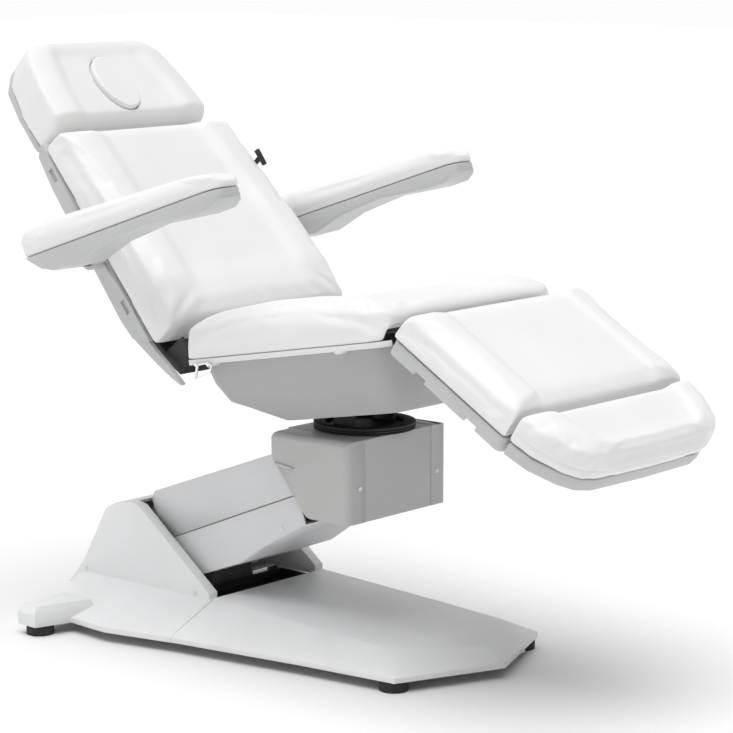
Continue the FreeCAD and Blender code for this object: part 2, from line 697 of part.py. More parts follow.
def tub(inset, levels):
    """Rounded sections of the tub from levels of (height, rear x, front x, half width)."""
    sections = []
    for height, rear, front, half in levels:
        corners = []
        for x, y, start in (
            (front, half, 0), (rear, half, 90), (rear, -half, 180), (front, -half, 270),
        ):
            middle_x = x - math.copysign(TUB_ROUND, x - 0.5 * (rear + front))
            middle_y = y - math.copysign(TUB_ROUND, y)
            for step in range(4):
                turn = math.radians(start + 30 * step)
                reach = TUB_ROUND - inset
                corners.append((middle_x + reach * math.cos(turn), middle_y + reach * math.sin(turn)))
        sections.append((height, 0, corners))
    return sections


TUB_ROUND = 34.0
TUB_WALL = 5.0


def make_seat_under_shell():
    """Moulded tub below the seat, open above, with openings for the pivot and both drives."""
    body = node("seat_under_shell", SEAT)
    levels = [
        (-158.0, -152.0, 180.0, 180.0), (-146.0, -176.0, 190.0, 192.0), (-122.0, -224.0, 206.0, 214.0),
        (-104.0, -262.0, 216.0, 232.0), (-60.0, -280.0, 228.0, 254.0), (-15.0, -284.0, 234.0, 268.0),
    ]
    outer = tub(0.0, levels)
    floor = (levels[0][0] + TUB_WALL, *levels[0][1:])
    inner = tub(TUB_WALL, [floor] + levels[1:-1] + [(-14.9, *levels[-1][1:])])
    for low, high in zip(outer, outer[1:]):
        loft(body, [low, high])
    for low, high in zip(inner, inner[1:]):
        loft(body, [low, high], cut=True)
    pocket(body, "XY", block((-140.0, -104.0), (40.0, 104.0)), 40.0, -158.0)
    pocket(body, "XZ", block((190.0, -90.0), (260.0, 0.0)), 120.0)
    pocket(body, "XZ", block((-300.0, -100.0), (-225.0, 0.0)), 120.0)
    for side in (1, -1):
        notch = block((-300.0, -75.0), (-240.0, 0.0))
        pocket(body, "XZ", notch, 16.0, side * 150.0 - 8.0, middle=False, back=True)
        notch = block((195.0, -75.0), (260.0, 0.0))
        pocket(body, "XZ", notch, 16.0, side * 150.0 - 8.0, middle=False, back=True)


def make_seat_trim():
    """Rim band between the tub and the cushion, open at the front for the leg hinges."""
    body = node("seat_trim", SEAT)
    pad(body, "XY", block((-303.0, -295.0), (262.0, 295.0)), 11.5, -14.5, middle=False)
    soften(body, lambda edge: edge.BoundBox.ZLength > 10, 24.0)
    pocket(body, "XY", block((-262.0, -262.0), (300.0, 262.0)), 60.0)
    pocket(body, "XY", block((-320.0, -263.0), (-291.0, 263.0)), 60.0)
    pocket(body, "XY", block((-320.0, -30.0), (-275.0, 30.0)), 60.0)
    for side in (1, -1):
        for across in (-238.0, 128.0):
            tab = [(across, -14.5), (across + 4.0, -20.0), (across + 22.0, -20.0), (across + 26.0, -14.5)]
            pad(body, "XZ", tab, 14.0, side * 285.0 - 7.0, middle=False)


def make_seat_cushion():
    """Seat pad with a crowned top that rolls over at the front, and a skirt round its sides and rear."""
    body = node("seat_cushion", SEAT)
    side = [
        (-309.0, SKIRT_LOW), (258.0, SKIRT_LOW), (266.0, 14.0), (276.0, 30.0), (278.0, 48.0), (262.0, 66.0),
        (180.0, 84.0), (60.0, 95.0), (-80.0, 97.0), (-220.0, 88.0), (-296.0, 76.0), (-309.0, 60.0),
    ]
    pad(body, "XZ", side, "2 * seat_half")
    soften(body, lambda edge: off_y(edge) and edge.BoundBox.ZMin > 40.0, 18.0)
    trim_corners(body, 278.0, SIZE["seat_half"], 52.0, 1)
    trim_corners(body, -309.0, SIZE["seat_half"], 26.0, -1)
    pocket(body, "XZ", block((-284.0, -30.0), (300.0, 15.0)), 540.0)
    pocket(body, "XZ", block((232.0, -30.0), (300.0, 30.0)), 530.0)
    pocket(body, "XY", block((-320.0, -263.0), (-290.0, 263.0)), 50.0, 22.0, middle=False)
    pocket(body, "XY", block((-320.0, -34.0), (-276.0, 34.0)), 50.0, 15.0, middle=False)
    pocket(body, "XY", block((-320.0, -26.0), (-298.0, 26.0)), 50.0, 33.0, middle=False)


SKIRT_LOW = -2.5


def make_side_loops():
    """Wire bails that hang from the rear corners of the seat."""
    for name, side in (("near", -1), ("far", 1)):
        body = node("side_loop_" + name, SEAT)
        offset = side * 299.5
        rod(body, "XZ", [(-262.0, -14.0, 4.0)], 6.0, -offset - 3.0, middle=False)
        wire = [(-272.0, -44.0), (-222.0, -34.0), (-216.0, -18.0), (-228.0, -10.0), (-262.0, -12.0)]
        hollow = [(-266.0, -40.0), (-225.0, -31.5), (-220.0, -20.0), (-230.0, -14.0), (-257.0, -16.0)]
        ring = outline(sketch(body, "XZ", -offset - 1.5), wire)
        grow(body, "Pad", ring, 3.0, middle=False)
        pocket(body, "XZ", hollow, 20.0, -offset)


BACK_AXIS = -56.0
LEG_AXIS = -44.0


def make_drive(name, axis, radius, bore, first, last, motor, deep):
    """A seat drive along X: a round tube bored for its push rod, and the motor block below it."""
    body = node(name, SEAT)
    rod(body, "YZ", [(0, axis, radius)], last - first, first, middle=False)
    pad(body, "YZ", block((-27.0, axis - deep), (27.0, axis + radius)), 62.0, motor, middle=False)
    return body, bore


def make_back_actuator():
    """Back drive: its tube opens towards the hinge of the back."""
    body, bore = make_drive("back_actuator", BACK_AXIS, 18.0, 11.05, -225.0, -90.0, -165.0, 62.0)
    drill(body, "YZ", [(0, BACK_AXIS, bore)], 129.0, -226.0, middle=False, back=True)


def make_back_actuator_rod():
    """Push rod of the back drive with its slotted yoke."""
    body = node("back_actuator_rod", SEAT)
    yoke(body, BACK_AXIS, -353.9, 16.0, 30.0, 8.6, -343.0, -184.0)


def make_leg_actuator():
    """Leg drive: its tube opens towards the front of the seat."""
    body, bore = make_drive("leg_actuator", LEG_AXIS, 15.0, 9.05, 20.0, 170.0, 22.0, 62.0)
    drill(body, "YZ", [(0, LEG_AXIS, bore)], 112.0, 171.0, middle=False)


def make_leg_actuator_rod():
    """Push rod of the leg drive with its slotted yoke."""
    body = node("leg_actuator_rod", SEAT)
    pad(body, "XZ", block((242.6, LEG_AXIS - 29.0), (270.6, LEG_AXIS + 29.0)), 14.0)
    rod(body, "YZ", [(0, LEG_AXIS, 9.0)], 142.0, 106.0, middle=False)
    slot = block((256.6 - 7.6, LEG_AXIS - 22.0), (256.6 + 7.6, LEG_AXIS + 22.0))
    pocket(body, "XZ", slot, 40.0)


# ------------------------------------------------------------------ back
def plates(body, points, across, thick):
    """The same plate on both sides of the middle, centred at y = across and y = -across."""
    for side in (1, -1):
        pad(body, "XZ", points, thick, side * across - 0.5 * thick, middle=False)


def make_back_frame():
    """Back chassis: two side tubes, cross bars, hinge eyes, drive lever and headrest bracket."""
    body = node("back_frame", BACK)
    plates(body, block((-560.0, -84.0), (-60.0, -66.0)), 168.0, 20.0)
    for across in (-545.0, -300.0, -90.0):
        pad(body, "XZ", block((across, -82.0), (across + 20.0, -66.0)), 340.0)
    ear = [
        (-84.0, -84.0), (-84.0, -67.0), (-56.0, -67.0), (-24.0, -60.0), (-12.0, 6.0), (0.0, 12.0),
        (12.0, 6.0), (0.0, -84.0),
    ]
    plates(body, ear, 163.0, 8.0)
    lever = [
        (-90.0, -82.0), (-90.0, -67.0), (-56.0, -67.0), (-24.0, -60.0), (-12.0, 6.0),
        (0.0, 12.0), (12.0, 6.0), (63.0, -60.0), (60.0, -76.0), (46.0, -80.0),
    ]
    plates(body, lever, 16.0, 8.0)
    bracket = [
        (-526.0, -82.0), (-526.0, -70.0), (-610.0, -70.0), (-634.0, -66.0),
        (-648.0, -72.0), (-648.0, -82.0), (-638.0, -88.0), (-600.0, -86.0),
    ]
    plates(body, bracket, 28.0, 6.0)
    drill(body, "XZ", [(0, 0, "hinge_pin_r + run_gap"), (52.3, -67.0, "lever_pin_r")], 400.0)
    along, up = seen_from("back", "head")
    drill(body, "XZ", [(along, up, "hinge_pin_r")], 80.0)


def make_back_pins():
    """Drive pin of the back and the headrest's hinge pin."""
    along, up = seen_from("back", "head")
    pins = [cylinder("lever_pin_r", 40.0, (52.3, 0, -67.0), "y")]
    pins.append(cylinder("hinge_pin_r", 92.0, (along, 0, up), "y"))
    fused("back_pins", pins, BACK)


TRAY_TOP = -604.0
TRAY_END = -62.0


def make_back_tray():
    """Moulded tray behind the back pad: a rim that deepens towards the hinge, with recesses."""
    body = node("back_tray", BACK)
    plan = [(TRAY_TOP, -262.0), (TRAY_END, -290.0), (TRAY_END, 290.0), (TRAY_TOP, 262.0)]
    pad(body, "XY", plan, 60.0, -117.0, middle=False)
    below = [
        (-700.0, -56.9), (-610.0, -56.9), (-590.0, -84.0), (-508.0, -94.0), (-150.0, -103.0), (-95.0, -97.0),
        (TRAY_END, -60.0), (40.0, -60.0), (40.0, -200.0), (-700.0, -200.0),
    ]
    pocket(body, "XZ", below, 700.0)
    inner = [(-582.0, -226.0), (-84.0, -252.0), (-84.0, 252.0), (-582.0, 226.0)]
    pocket(body, "XY", inner, 80.0, -61.0, middle=False)
    for side in (1, -1):
        for x, y in ((-545.0, 260.0), (-180.0, 279.0)):
            recess = block((x, -78.0), (x + 34.0, -64.0))
            start = y if side == 1 else -y - 30.0
            pocket(body, "XZ", recess, 30.0, start, middle=False, back=True)
    pocket(body, "XY", block((-640.0, -190.0), (-570.0, 190.0)), 60.0, -66.0, middle=False)
    cheek = [
        (-100.0, -96.5), (-82.0, -93.0), (-16.0, -76.0), (36.0, -60.0), (66.0, -47.0), (65.0, -43.0),
        (40.0, -46.0), (0.0, -52.0), (-40.0, -60.0), (-100.0, -66.0),
    ]
    along, up = seen_from("back", "arm_rest")
    lug = block((along - 20.0, -84.0), (along + 20.0, -57.5))
    for side in (1, -1):
        pad(body, "XZ", cheek, 12.0, side * 281.0 - 6.0, middle=False)
        pad(body, "XZ", lug, 32.0, side * 290.0 - 16.0, middle=False)
        rod(body, "XZ", [(along, up, 24.0)], 24.0, side * 294.0 - 12.0, middle=False)
    drill(body, "XZ", [(along, up, "arm_rest_pin_r")], 700.0)
    pocket(body, "XZ", [(-95.0, -120.0), (-95.0, -66.0), (-50.0, -66.0), (-50.0, -120.0)], 360.0)


def make_back_gusset():
    """Black inner guard between the back tray and the tub, with a cheek on each side."""
    body = node("back_gusset", BACK)
    guard = [
        (-84.0, -93.0), (-16.0, -71.0), (34.0, -57.0), (36.0, -51.0), (-16.0, -63.0), (-70.0, -75.0),
        (-84.0, -88.5),
    ]
    cheek = [
        (-84.0, -93.0), (-16.0, -71.0), (34.0, -57.0), (24.0, -30.0), (14.0, -6.0), (-24.0, 4.0),
        (-29.0, -59.0), (-61.0, -62.5), (-84.0, -88.5),
    ]
    pad(body, "XZ", guard, 520.0)
    for side in (1, -1):
        pad(body, "XZ", cheek, 6.0, side * 257.0 - 3.0, middle=False)
    pocket(body, "XZ", block((-90.0, -120.0), (-30.0, -40.0)), 372.0)
    pocket(body, "XZ", block((-31.0, -120.0), (60.0, -40.0)), 350.0)


def make_back_cushion():
    """Back pad, thicker and wider towards the seat."""
    body = node("back_cushion", BACK)
    side = [(-594.0, -56.5), (-44.0, -56.5), (-42.0, 12.0), (-56.0, 32.0), (-150.0, 48.0), (-300.0, 46.0),
            (-480.0, 35.0), (-580.0, 25.0), (-596.0, 6.0)]
    pad(body, "XZ", side, 700.0)
    plan = [
        (-700.0, -261.2), (-594.0, -266.0), (-30.0, -292.0), (10.0, -294.0), (10.0, -400.0),
        (-700.0, -400.0),
    ]
    for way in (1, -1):
        pocket(body, "XY", [(x, way * y) for x, y in plan], 400.0)


def make_armrest_pivots():
    """Black pivot bosses on the tray's sides."""
    along, up = seen_from("back", "arm_rest")
    bosses = []
    for side in (1, -1):
        bosses.append(cylinder(15.0, 22.0, (along, side * 318.0, up), "y"))
        bosses.append(cylinder("arm_rest_pin_r", 102.0, (along, side * 311.0, up), "y"))
    pairs = []
    for index in (0, 2):
        pair = doc.addObject("Part::MultiFuse", "boss")
        pair.Shapes = bosses[index:index + 2]
        pairs.append(pair)
    fused("armrest_pivots", pairs, BACK)


def make_side_hook():
    """Black hook for the hand control on the back's far edge."""
    body = node("side_hook", BACK)
    pad(body, "XZ", block((-462.0, -80.0), (-450.0, 28.0)), 4.0, -281.0, middle=False)
    lip = [(-478.0, 22.0), (-436.0, 20.0), (-434.0, 30.0), (-476.0, 34.0)]
    pad(body, "XZ", lip, 7.0, -284.0, middle=False)


def make_armrests():
    """Padded top on a moulded shell; the shell turns on its pivot pin."""
    under = [
        (-70.0, 28.0), (-27.0, -4.0), (9.0, -16.0), (90.0, -20.0), (180.0, 0.0), (311.0, 8.0),
        (455.0, -6.0), (505.0, -5.0), (534.0, 12.0), (541.0, 31.0),
    ]
    over = [
        (-72.0, 28.6), (541.0, 31.6), (545.0, 46.0), (530.0, 62.0), (488.0, 71.0),
        (330.0, 79.0), (47.0, 91.0), (-62.0, 88.0), (-78.0, 68.0),
    ]
    for name, side in (("near", -1), ("far", 1)):
        place = "arm_rest_y" if side > 0 else "-arm_rest_y"
        lower = node("armrest_shell_" + name, ARMREST, place)
        pad(lower, "XZ", under, "2 * arm_rest_half")
        soften(
            lower,
            lambda edge: off_y(edge) and edge.BoundBox.ZMin < 10.0 and edge.BoundBox.XLength > 20.0,
            8.0,
        )
        trim_corners(lower, 541.0, SIZE["arm_rest_half"], 36.0, 1)
        drill(lower, "XZ", [(0, 0, "arm_rest_pin_r + run_gap")], 56.0, side * SIZE["arm_rest_half"])
        upper = node("armrest_pad_" + name, ARMREST, place)
        pad(upper, "XZ", over, "2 * arm_rest_half")
        soften(upper, lambda edge: off_y(edge) and edge.BoundBox.ZMax > 50.0, 12.0)
        trim_corners(upper, 545.0, SIZE["arm_rest_half"], 38.0, 1)


# ------------------------------------------------------------------ headrest
def oval(item, x, long_half, wide_half):
    """An ellipse whose long axis runs along X."""
    centre = FreeCAD.Vector(x, 0, 0)
    long_end = FreeCAD.Vector(x + long_half, 0, 0)
    wide_end = FreeCAD.Vector(x, wide_half, 0)
    item.addGeometry(Part.Ellipse(long_end, wide_end, centre))
    return item


PLUG_X = -77.0


def headrest_side():
    """Side view of the headrest pad, thinner at its rounded upper end."""
    return [
        (28.0, -13.0), (-66.0, -15.0), (-165.0, -9.0), (-208.0, 14.0), (-220.0, 58.0),
        (-205.0, 86.0), (-180.0, 92.0), (6.0, 91.0), (20.0, 78.0), (27.0, 56.0),
    ]


def make_headrest_cushion():
    """Headrest pad, tapered in plan, with an oval face hole and a pocket for the hinge."""
    body = node("headrest_cushion", HEADREST)
    pad(body, "XZ", headrest_side(), 480.0)
    for way in (1, -1):
        cut = [(40.0, 238.0)] + headrest_plan() + [(-230.0, 300.0), (40.0, 300.0)]
        pocket(body, "XY", [(x, way * y) for x, y in cut], 400.0)
    pocket(body, "XZ", block((-56.0, -60.0), (40.0, 26.0)), 120.0)
    hole = oval(sketch(body, "XY"), PLUG_X, SIZE["plug_long"] + 1.0, SIZE["plug_wide"] + 1.0)
    grow(body, "Pocket", hole, 400.0)


def headrest_plan(inset=0.0):
    """Half plan of the headrest as the corners beyond its long side."""
    half = [(4.0, 240.0), (-80.0, 231.0), (-160.0, 212.0), (-200.0, 186.0), (-221.0, 144.0)]
    return [(x, y - inset) for x, y in half]


def make_headrest_tray():
    """Moulded tray under the headrest pad, open in the middle for the plate and the face hole."""
    body = node("headrest_tray", HEADREST)
    side = [
        (18.0, -28.0), (-154.0, -30.0), (-197.0, -16.0), (-217.0, 10.0), (-219.5, 24.0),
        (-212.5, 13.0), (-166.0, -9.7), (-66.0, -15.7), (18.0, -14.2),
    ]
    pad(body, "XZ", side, 472.0)
    for way in (1, -1):
        cut = [(40.0, way * 234.0)] + [(x, way * y) for x, y in headrest_plan(4.0)]
        cut += [(-230.0, way * 104.0), (-254.0, way * 300.0), (40.0, way * 300.0)]
        pocket(body, "XY", cut, 400.0)
    pocket(body, "XY", block((-184.0, -130.0), (60.0, 130.0)), 400.0)


def make_face_hole_plug():
    """Lift-out oval plug of the face hole."""
    body = node("face_hole_plug", HEADREST)
    grow(body, "Pad", oval(sketch(body, "XY"), PLUG_X, SIZE["plug_long"], SIZE["plug_wide"]), 240.0)
    pocket(body, "XZ", block((-300.0, 90.0), (100.0, 200.0)), 300.0)
    below = [
        (-300.0, -200.0), (-300.0, -5.0), (-160.0, -8.0), (-66.0, -13.5), (-46.0, -13.5), (-46.0, 13.0),
        (60.0, 13.0), (60.0, -200.0),
    ]
    pocket(body, "XZ", below, 300.0)


def make_headrest_frame():
    """Steel plate behind the headrest pad with its two hinge ears."""
    body = node("headrest_frame", HEADREST)
    pad(body, "XZ", block((-66.0, -25.0), (-20.0, -15.8)), 200.0)
    ear = [
        (-50.0, -24.0), (-50.0, -16.0), (-40.0, -16.0), (-10.0, 4.0), (0.0, 10.0), (9.0, 4.0),
        (8.0, -8.0), (-14.0, -24.0),
    ]
    plates(body, ear, 40.0, 8.0)
    drill(body, "XZ", [(0, 0, "hinge_pin_r + run_gap")], 120.0)


# ------------------------------------------------------------------ leg and foot sections
LEG_START = 34.0
LEG_END = 364.0
FOOT_START = 367.0


def make_leg_frame():
    """Leg chassis: two guide tubes for the foot section, cross bars, hinge eyes and drive lever."""
    body = node("leg_frame", LEG)
    plates(body, block((44.0, -20.0), (340.0, 0.0)), 120.0, 22.0)
    for across in (44.0, 300.0):
        pad(body, "XZ", block((across, -18.0), (across + 20.0, -2.0)), 334.0)
    ear = [
        (-10.0, -6.0), (-6.0, 8.0), (4.0, 11.0), (30.0, 1.0), (50.0, -2.0), (64.0, -2.0), (64.0, -18.0),
        (30.0, -18.0),
    ]
    plates(body, ear, 163.0, 8.0)
    lever = [
        (-8.0, 0.0), (6.0, 8.0), (30.0, 1.0), (64.0, -2.0), (64.0, -18.0), (52.0, -44.0), (42.0, -56.0),
        (30.0, -50.0),
    ]
    plates(body, lever, 16.0, 8.0)
    drill(body, "XZ", [(0, 0, "hinge_pin_r + run_gap"), (39.4, -45.3, "lever_pin_r")], 400.0)
    guides = [(120.0, -10.0, 7.05), (-120.0, -10.0, 7.05)]
    drill(body, "YZ", guides, 320.0, 30.0, middle=False, back=True)


def make_leg_drive_pin():
    """Pin of the leg drive."""
    body = node("leg_drive_pin", LEG)
    rod(body, "XZ", [(39.4, -45.3, "lever_pin_r")], 40.0)


def make_leg_tray():
    """Grey moulded tray under the leg pad, hollow below, notched along its sides."""
    body = node("leg_tray", LEG)
    pad(body, "XY", block((LEG_START, -286.0), (LEG_END, 286.0)), 31.0, -22.0, middle=False)
    soften(body, lambda edge: edge.BoundBox.ZLength > 20, 16.0)
    pocket(body, "XY", block((LEG_START + 6.0, -278.0), (LEG_END - 6.0, 278.0)), 60.0, 3.0, middle=False)
    pocket(body, "XZ", block((LEG_START - 10.0, -40.0), (LEG_START + 10.0, 3.0)), 360.0)
    pocket(body, "XZ", block((LEG_END - 10.0, -40.0), (LEG_END + 10.0, 1.5)), 290.0)
    for side in (1, -1):
        for across in (110.0, 260.0):
            notch = block((across, -30.0), (across + 34.0, -13.0))
            pocket(body, "XZ", notch, 20.0, side * 284.0 - 10.0, middle=False, back=True)


def make_leg_cushion():
    """Leg pad."""
    body = node("leg_cushion", LEG)
    side = [
        (27.0, 9.6), (LEG_END, 9.6), (LEG_END, 76.0), (LEG_END - 12.0, 84.0), (46.0, 84.0),
        (32.0, 76.0), (27.0, 60.0),
    ]
    pad(body, "XZ", side, "2 * leg_half")
    soften(body, lambda edge: off_y(edge) and edge.BoundBox.ZMin > 50.0, 14.0)


def foot_plan(inset=0.0):
    """Half plan of the foot section: a taper with broad rounded corners, drawn as short facets."""
    return [
        (FOOT_START + inset, 293.0 - inset), (430.0, 282.0 - inset), (492.0 - inset, 246.0 - inset),
        (516.0 - inset, 216.0 - inset), (527.0 - inset, 170.0), (530.0 - inset, 0),
    ]


def make_foot_frame():
    """Slide rods of the foot section and the plate that joins them."""
    body = node("foot_frame", LEG)
    rod(body, "YZ", [(120.0, -10.0, 7.0), (-120.0, -10.0, 7.0)], 230.0, 180.0, middle=False)
    pad(body, "YZ", block((-150.0, -15.0), (150.0, 2.0)), 40.0, 400.0, middle=False)


def make_foot_tray():
    """Grey moulded tray under the foot pad."""
    body = node("foot_tray", LEG)
    outer = [(x, y) for x, y in foot_plan(7.0)]
    pad(body, "XY", mirrored(outer), 27.0, -16.0, middle=False)
    pocket(body, "XY", mirrored([(x, y) for x, y in foot_plan(14.0)]), 60.0, 4.0, middle=False)
    pocket(body, "XZ", block((FOOT_START, -40.0), (FOOT_START + 20.0, 4.0)), 270.0)


def make_foot_cushion():
    """Foot pad."""
    body = node("foot_cushion", LEG)
    pad(body, "XY", mirrored(foot_plan()), 72.0, 11.6, middle=False)
    soften(body, lambda edge: edge.BoundBox.ZMin > 80.0 and edge.BoundBox.XMax > 400.0, 14.0)


for make in (
    make_base_front_cover, make_tower_cover, make_base_feet, make_base_frame, make_lift_pivot_pins,
    make_base_cover_screws, make_control_box, make_cable_tray, make_power_inlet,
    make_lift_arm_frame, make_arm_covers,
    make_arm_cover_clips, make_levelling_link, make_lift_actuator, make_lift_actuator_rod,
    make_head_side_covers, make_head_front_cover, make_head_frame, make_head_pins,
    make_head_cover_screws, make_swivel_bearing, make_swivel_table, make_swivel_bellows,
    make_seat_frame, make_seat_under_shell, make_seat_trim, make_seat_cushion, make_side_loops,
    make_back_actuator, make_back_actuator_rod, make_leg_actuator, make_leg_actuator_rod,
    make_back_frame, make_back_pins, make_back_tray, make_back_gusset, make_back_cushion,
    make_armrest_pivots,
    make_side_hook, make_armrests,
    make_headrest_cushion, make_headrest_tray, make_face_hole_plug, make_headrest_frame,
    make_leg_frame, make_leg_drive_pin, make_leg_tray, make_leg_cushion,
    make_foot_frame, make_foot_tray, make_foot_cushion,
):
    make()

doc.recompute()
os.makedirs("parts", exist_ok=True)
for item in doc.Objects:
    if "Invalid" in item.State or "Error" in item.State:
        raise RuntimeError("%s failed: %s" % (item.Label, item.State))
bad = [item.Label for item in nodes if item.Shape.isNull() or not item.Shape.isValid()]
if bad:
    raise RuntimeError("no valid shape: " + ", ".join(bad))
for item in nodes:
    item.Shape.exportStep("parts/%s.step" % item.Label)
print(len(nodes), "pieces")
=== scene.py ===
"""Looks of the facial treatment bed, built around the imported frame. Lengths are in metres."""

import math

import bpy
import numpy as np
from mathutils import Matrix, Vector


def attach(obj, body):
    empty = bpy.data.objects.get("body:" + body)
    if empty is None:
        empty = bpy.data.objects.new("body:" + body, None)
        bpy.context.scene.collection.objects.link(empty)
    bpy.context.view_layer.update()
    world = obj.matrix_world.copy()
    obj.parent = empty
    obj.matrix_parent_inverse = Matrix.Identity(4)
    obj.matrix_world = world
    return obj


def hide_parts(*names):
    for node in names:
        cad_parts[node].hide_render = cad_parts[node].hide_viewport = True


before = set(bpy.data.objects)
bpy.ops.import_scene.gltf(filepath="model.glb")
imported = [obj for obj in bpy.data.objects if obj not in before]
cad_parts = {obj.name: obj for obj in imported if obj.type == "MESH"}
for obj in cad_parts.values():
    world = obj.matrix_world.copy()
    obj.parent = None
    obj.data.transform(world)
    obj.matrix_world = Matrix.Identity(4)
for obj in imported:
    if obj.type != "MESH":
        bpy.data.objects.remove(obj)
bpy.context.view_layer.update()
scene = bpy.context.scene
MM = 0.001


# ---------------------------------------------------------------- materials

def put(tree, socket, value):
    """Sets a socket to a value, or links another node's output to it."""
    if isinstance(value, bpy.types.NodeSocket):
        tree.links.new(value, socket)
    else:
        socket.default_value = value


def add_node(tree, kind, **sockets):
    """A new node with its inputs set by name, with _ for a space."""
    node = tree.nodes.new(kind)
    for socket, value in sockets.items():
        put(tree, node.inputs[socket.replace("_", " ")], value)
    return node


class Nodes:
    """A new node material around one Principled shader, in object coordinates."""

    def __init__(self, name, **sockets):
        self.material = bpy.data.materials.new(name)
        self.material.use_nodes = True
        self.tree = self.material.node_tree
        self.shader = self.tree.nodes["Principled BSDF"]
        for socket, value in sockets.items():
            self.shader.inputs[socket.replace("_", " ")].default_value = value
        self.place = self.add("ShaderNodeTexCoord").outputs["Object"]

    def add(self, kind, **sockets):
        return add_node(self.tree, kind, **sockets)

    def noise(self, size, detail=3.0, stretch=(1, 1, 1)):
        """Noise whose blotches are about size across."""
        mapping = self.add("ShaderNodeMapping", Vector=self.place, Scale=stretch)
        node = self.add("ShaderNodeTexNoise", Vector=mapping.outputs[0],
                        Scale=1 / size, Detail=detail)
        return node.outputs["Fac"]

    def cells(self, size):
        """Pebbled cells about size across, 0 at their middles."""
        node = self.add("ShaderNodeTexVoronoi", Vector=self.place, Scale=1 / size)
        node.feature = "SMOOTH_F1"
        return node.outputs["Distance"]

    def spread(self, value, low, high, start=0.3, end=0.7):
        """value from start to end, spread over low to high."""
        node = self.add("ShaderNodeMapRange", Value=value, From_Min=start, From_Max=end,
                        To_Min=low, To_Max=high)
        return node.outputs["Result"]

    def tint(self, factor, first, second):
        """A colour between two, by factor."""
        node = self.add("ShaderNodeValToRGB", Fac=factor)
        ramp = node.color_ramp.elements
        ramp[0].position, ramp[0].color = 0.3, (*first, 1)
        ramp[1].position, ramp[1].color = 0.7, (*second, 1)
        return node.outputs["Color"]

    def bump(self, height, depth, under=None):
        """Raises the surface by up to depth, over the normal of a coarser bump."""
        node = self.add("ShaderNodeBump", Height=height, Distance=depth)
        if under is not None:
            put(self.tree, node.inputs["Normal"], under)
        return node.outputs["Normal"]

    def finish(self, colour=None, roughness=None, normal=None):
        inputs = {"Base Color": colour, "Roughness": roughness, "Normal": normal}
        for socket, value in inputs.items():
            if value is not None:
                put(self.tree, self.shader.inputs[socket], value)
        return self.material


def shade(colour, by):
    return tuple(channel * by for channel in colour)


def upholstery():
    """White artificial leather: a fine pebble grain, soft waves and a slightly uneven gloss."""
    m = Nodes("white_leather", IOR=1.47)
    m.shader.inputs["Coat Weight"].default_value = 0.06
    m.shader.inputs["Coat Roughness"].default_value = 0.35
    waves = m.bump(m.noise(0.09, 2.0), 0.9 * MM)
    sewn = m.add("ShaderNodeAttribute")
    sewn.attribute_name = "seam"
    drawn_in = m.bump(m.spread(sewn.outputs["Fac"], 1, 0, 0.45, 1.0), 0.9 * MM, waves)
    groove = m.bump(m.spread(sewn.outputs["Fac"], 1, 0, 0.9, 1.0), 1.1 * MM, drawn_in)
    grain = m.bump(m.cells(1.3 * MM), 0.11 * MM, groove)
    pores = m.bump(m.noise(0.5 * MM, 2.0), 0.03 * MM, grain)
    colour = m.tint(m.noise(0.16, 2.0), (0.865, 0.868, 0.866), (0.90, 0.90, 0.893))
    return m.finish(colour, m.spread(m.noise(0.05, 4.0), 0.40, 0.52), pores)


def moulded(name, colour, gloss, vary=0.03, grain=0.6 * MM, depth=0.035 * MM):
    """Moulded plastic: a spark-eroded texture, faint flow marks and a little handling wear."""
    m = Nodes(name, IOR=1.5)
    texture = m.bump(m.noise(grain, 2.0), depth)
    flow = m.bump(m.noise(0.12, 2.0, (1, 1, 0.4)), 0.25 * MM, texture)
    tone = m.tint(m.noise(0.2, 3.0), shade(colour, 1 - vary), shade(colour, 1 + vary))
    return m.finish(tone, m.spread(m.noise(0.04, 5.0), gloss, gloss + 0.1), flow)


def powder_coat(name, colour, gloss):
    """Baked paint with a fine orange peel."""
    m = Nodes(name, IOR=1.5)
    peel = m.bump(m.cells(1.6 * MM), 0.08 * MM)
    tone = m.tint(m.noise(0.05, 4.0), shade(colour, 0.9), shade(colour, 1.1))
    return m.finish(tone, m.spread(m.noise(0.02, 4.0), gloss, gloss + 0.15), peel)


def bare_metal(name, colour, gloss, stretch):
    """Metal with faint brushing, drawn out by stretch."""
    m = Nodes(name, Metallic=1.0)
    brushed = m.bump(m.noise(1.2 * MM, 3.0, stretch), 0.02 * MM)
    tone = m.tint(m.noise(0.01, 3.0), shade(colour, 0.92), colour)
    return m.finish(tone, m.spread(m.noise(6 * MM, 3.0), gloss, gloss + 0.12), brushed)


def rubber(name, colour):
    """Matt rubber with a little dust."""
    m = Nodes(name, IOR=1.5)
    dust = m.tint(m.noise(8 * MM, 5.0), colour, shade(colour, 1.8))
    skin = m.bump(m.noise(0.8 * MM), 0.06 * MM)
    return m.finish(dust, m.spread(m.noise(5 * MM, 4.0), 0.55, 0.8), skin)


